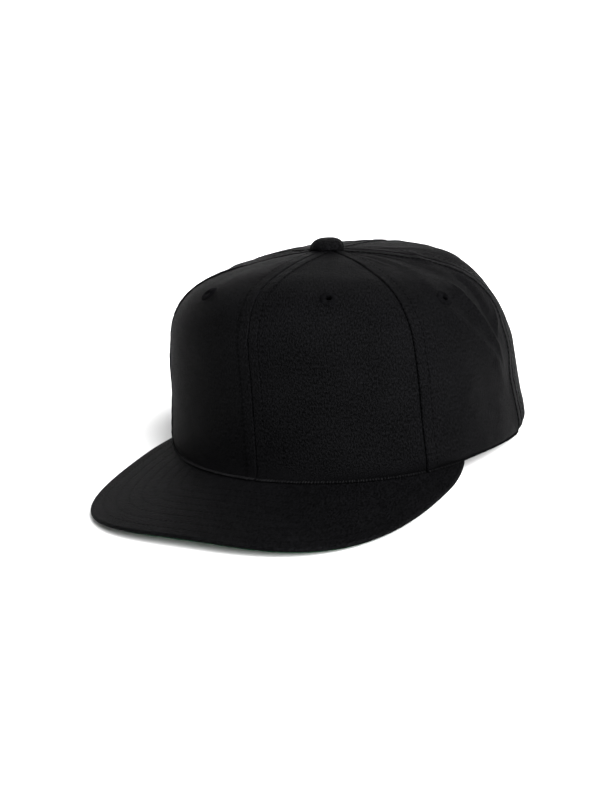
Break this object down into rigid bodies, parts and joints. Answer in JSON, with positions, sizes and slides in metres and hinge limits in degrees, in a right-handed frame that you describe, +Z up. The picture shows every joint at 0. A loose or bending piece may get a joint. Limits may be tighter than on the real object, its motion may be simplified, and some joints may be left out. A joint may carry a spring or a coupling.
{
  "type": "snapback cap",
  "caption": "Six-panel cap with a stiffened front, slightly curved flat bill with green underside, sewn eyelets, covered button, sweatband and plastic snap strap.",
  "frame": {"origin": "on the table, under the middle of the cap's outline", "axes": "+Z up, bill towards -Y, the wearer's left at +X"},
  "size_m": [0.1856, 0.2502, 0.1137],
  "materials": {
    "black_twill": "matt black cotton twill, fine diagonal rib, faint sheen on edges",
    "black_thread": "black embroidery thread with a soft gloss",
    "green_twill": "matt green cotton twill",
    "band_cotton": "black cotton sweatband with sewn rows",
    "strap_plastic": "satin black moulded plastic"
  },
  "bodies": {
    "root": {"front_panel_left": "black_twill", "front_panel_right": "black_twill", "side_panel_left": "black_twill", "side_panel_right": "black_twill", "back_panel_left": "black_twill", "back_panel_right": "black_twill", "eyelet_front_left": "black_thread", "eyelet_front_right": "black_thread", "eyelet_side_left": "black_thread", "eyelet_side_right": "black_thread", "eyelet_back_left": "black_thread", "eyelet_back_right": "black_thread", "crown_button": "black_twill", "bill_top": "black_twill", "bill_under": "green_twill", "sweatband": "band_cotton", "snap_strap": "strap_plastic"}
  },
  "joints": []
}
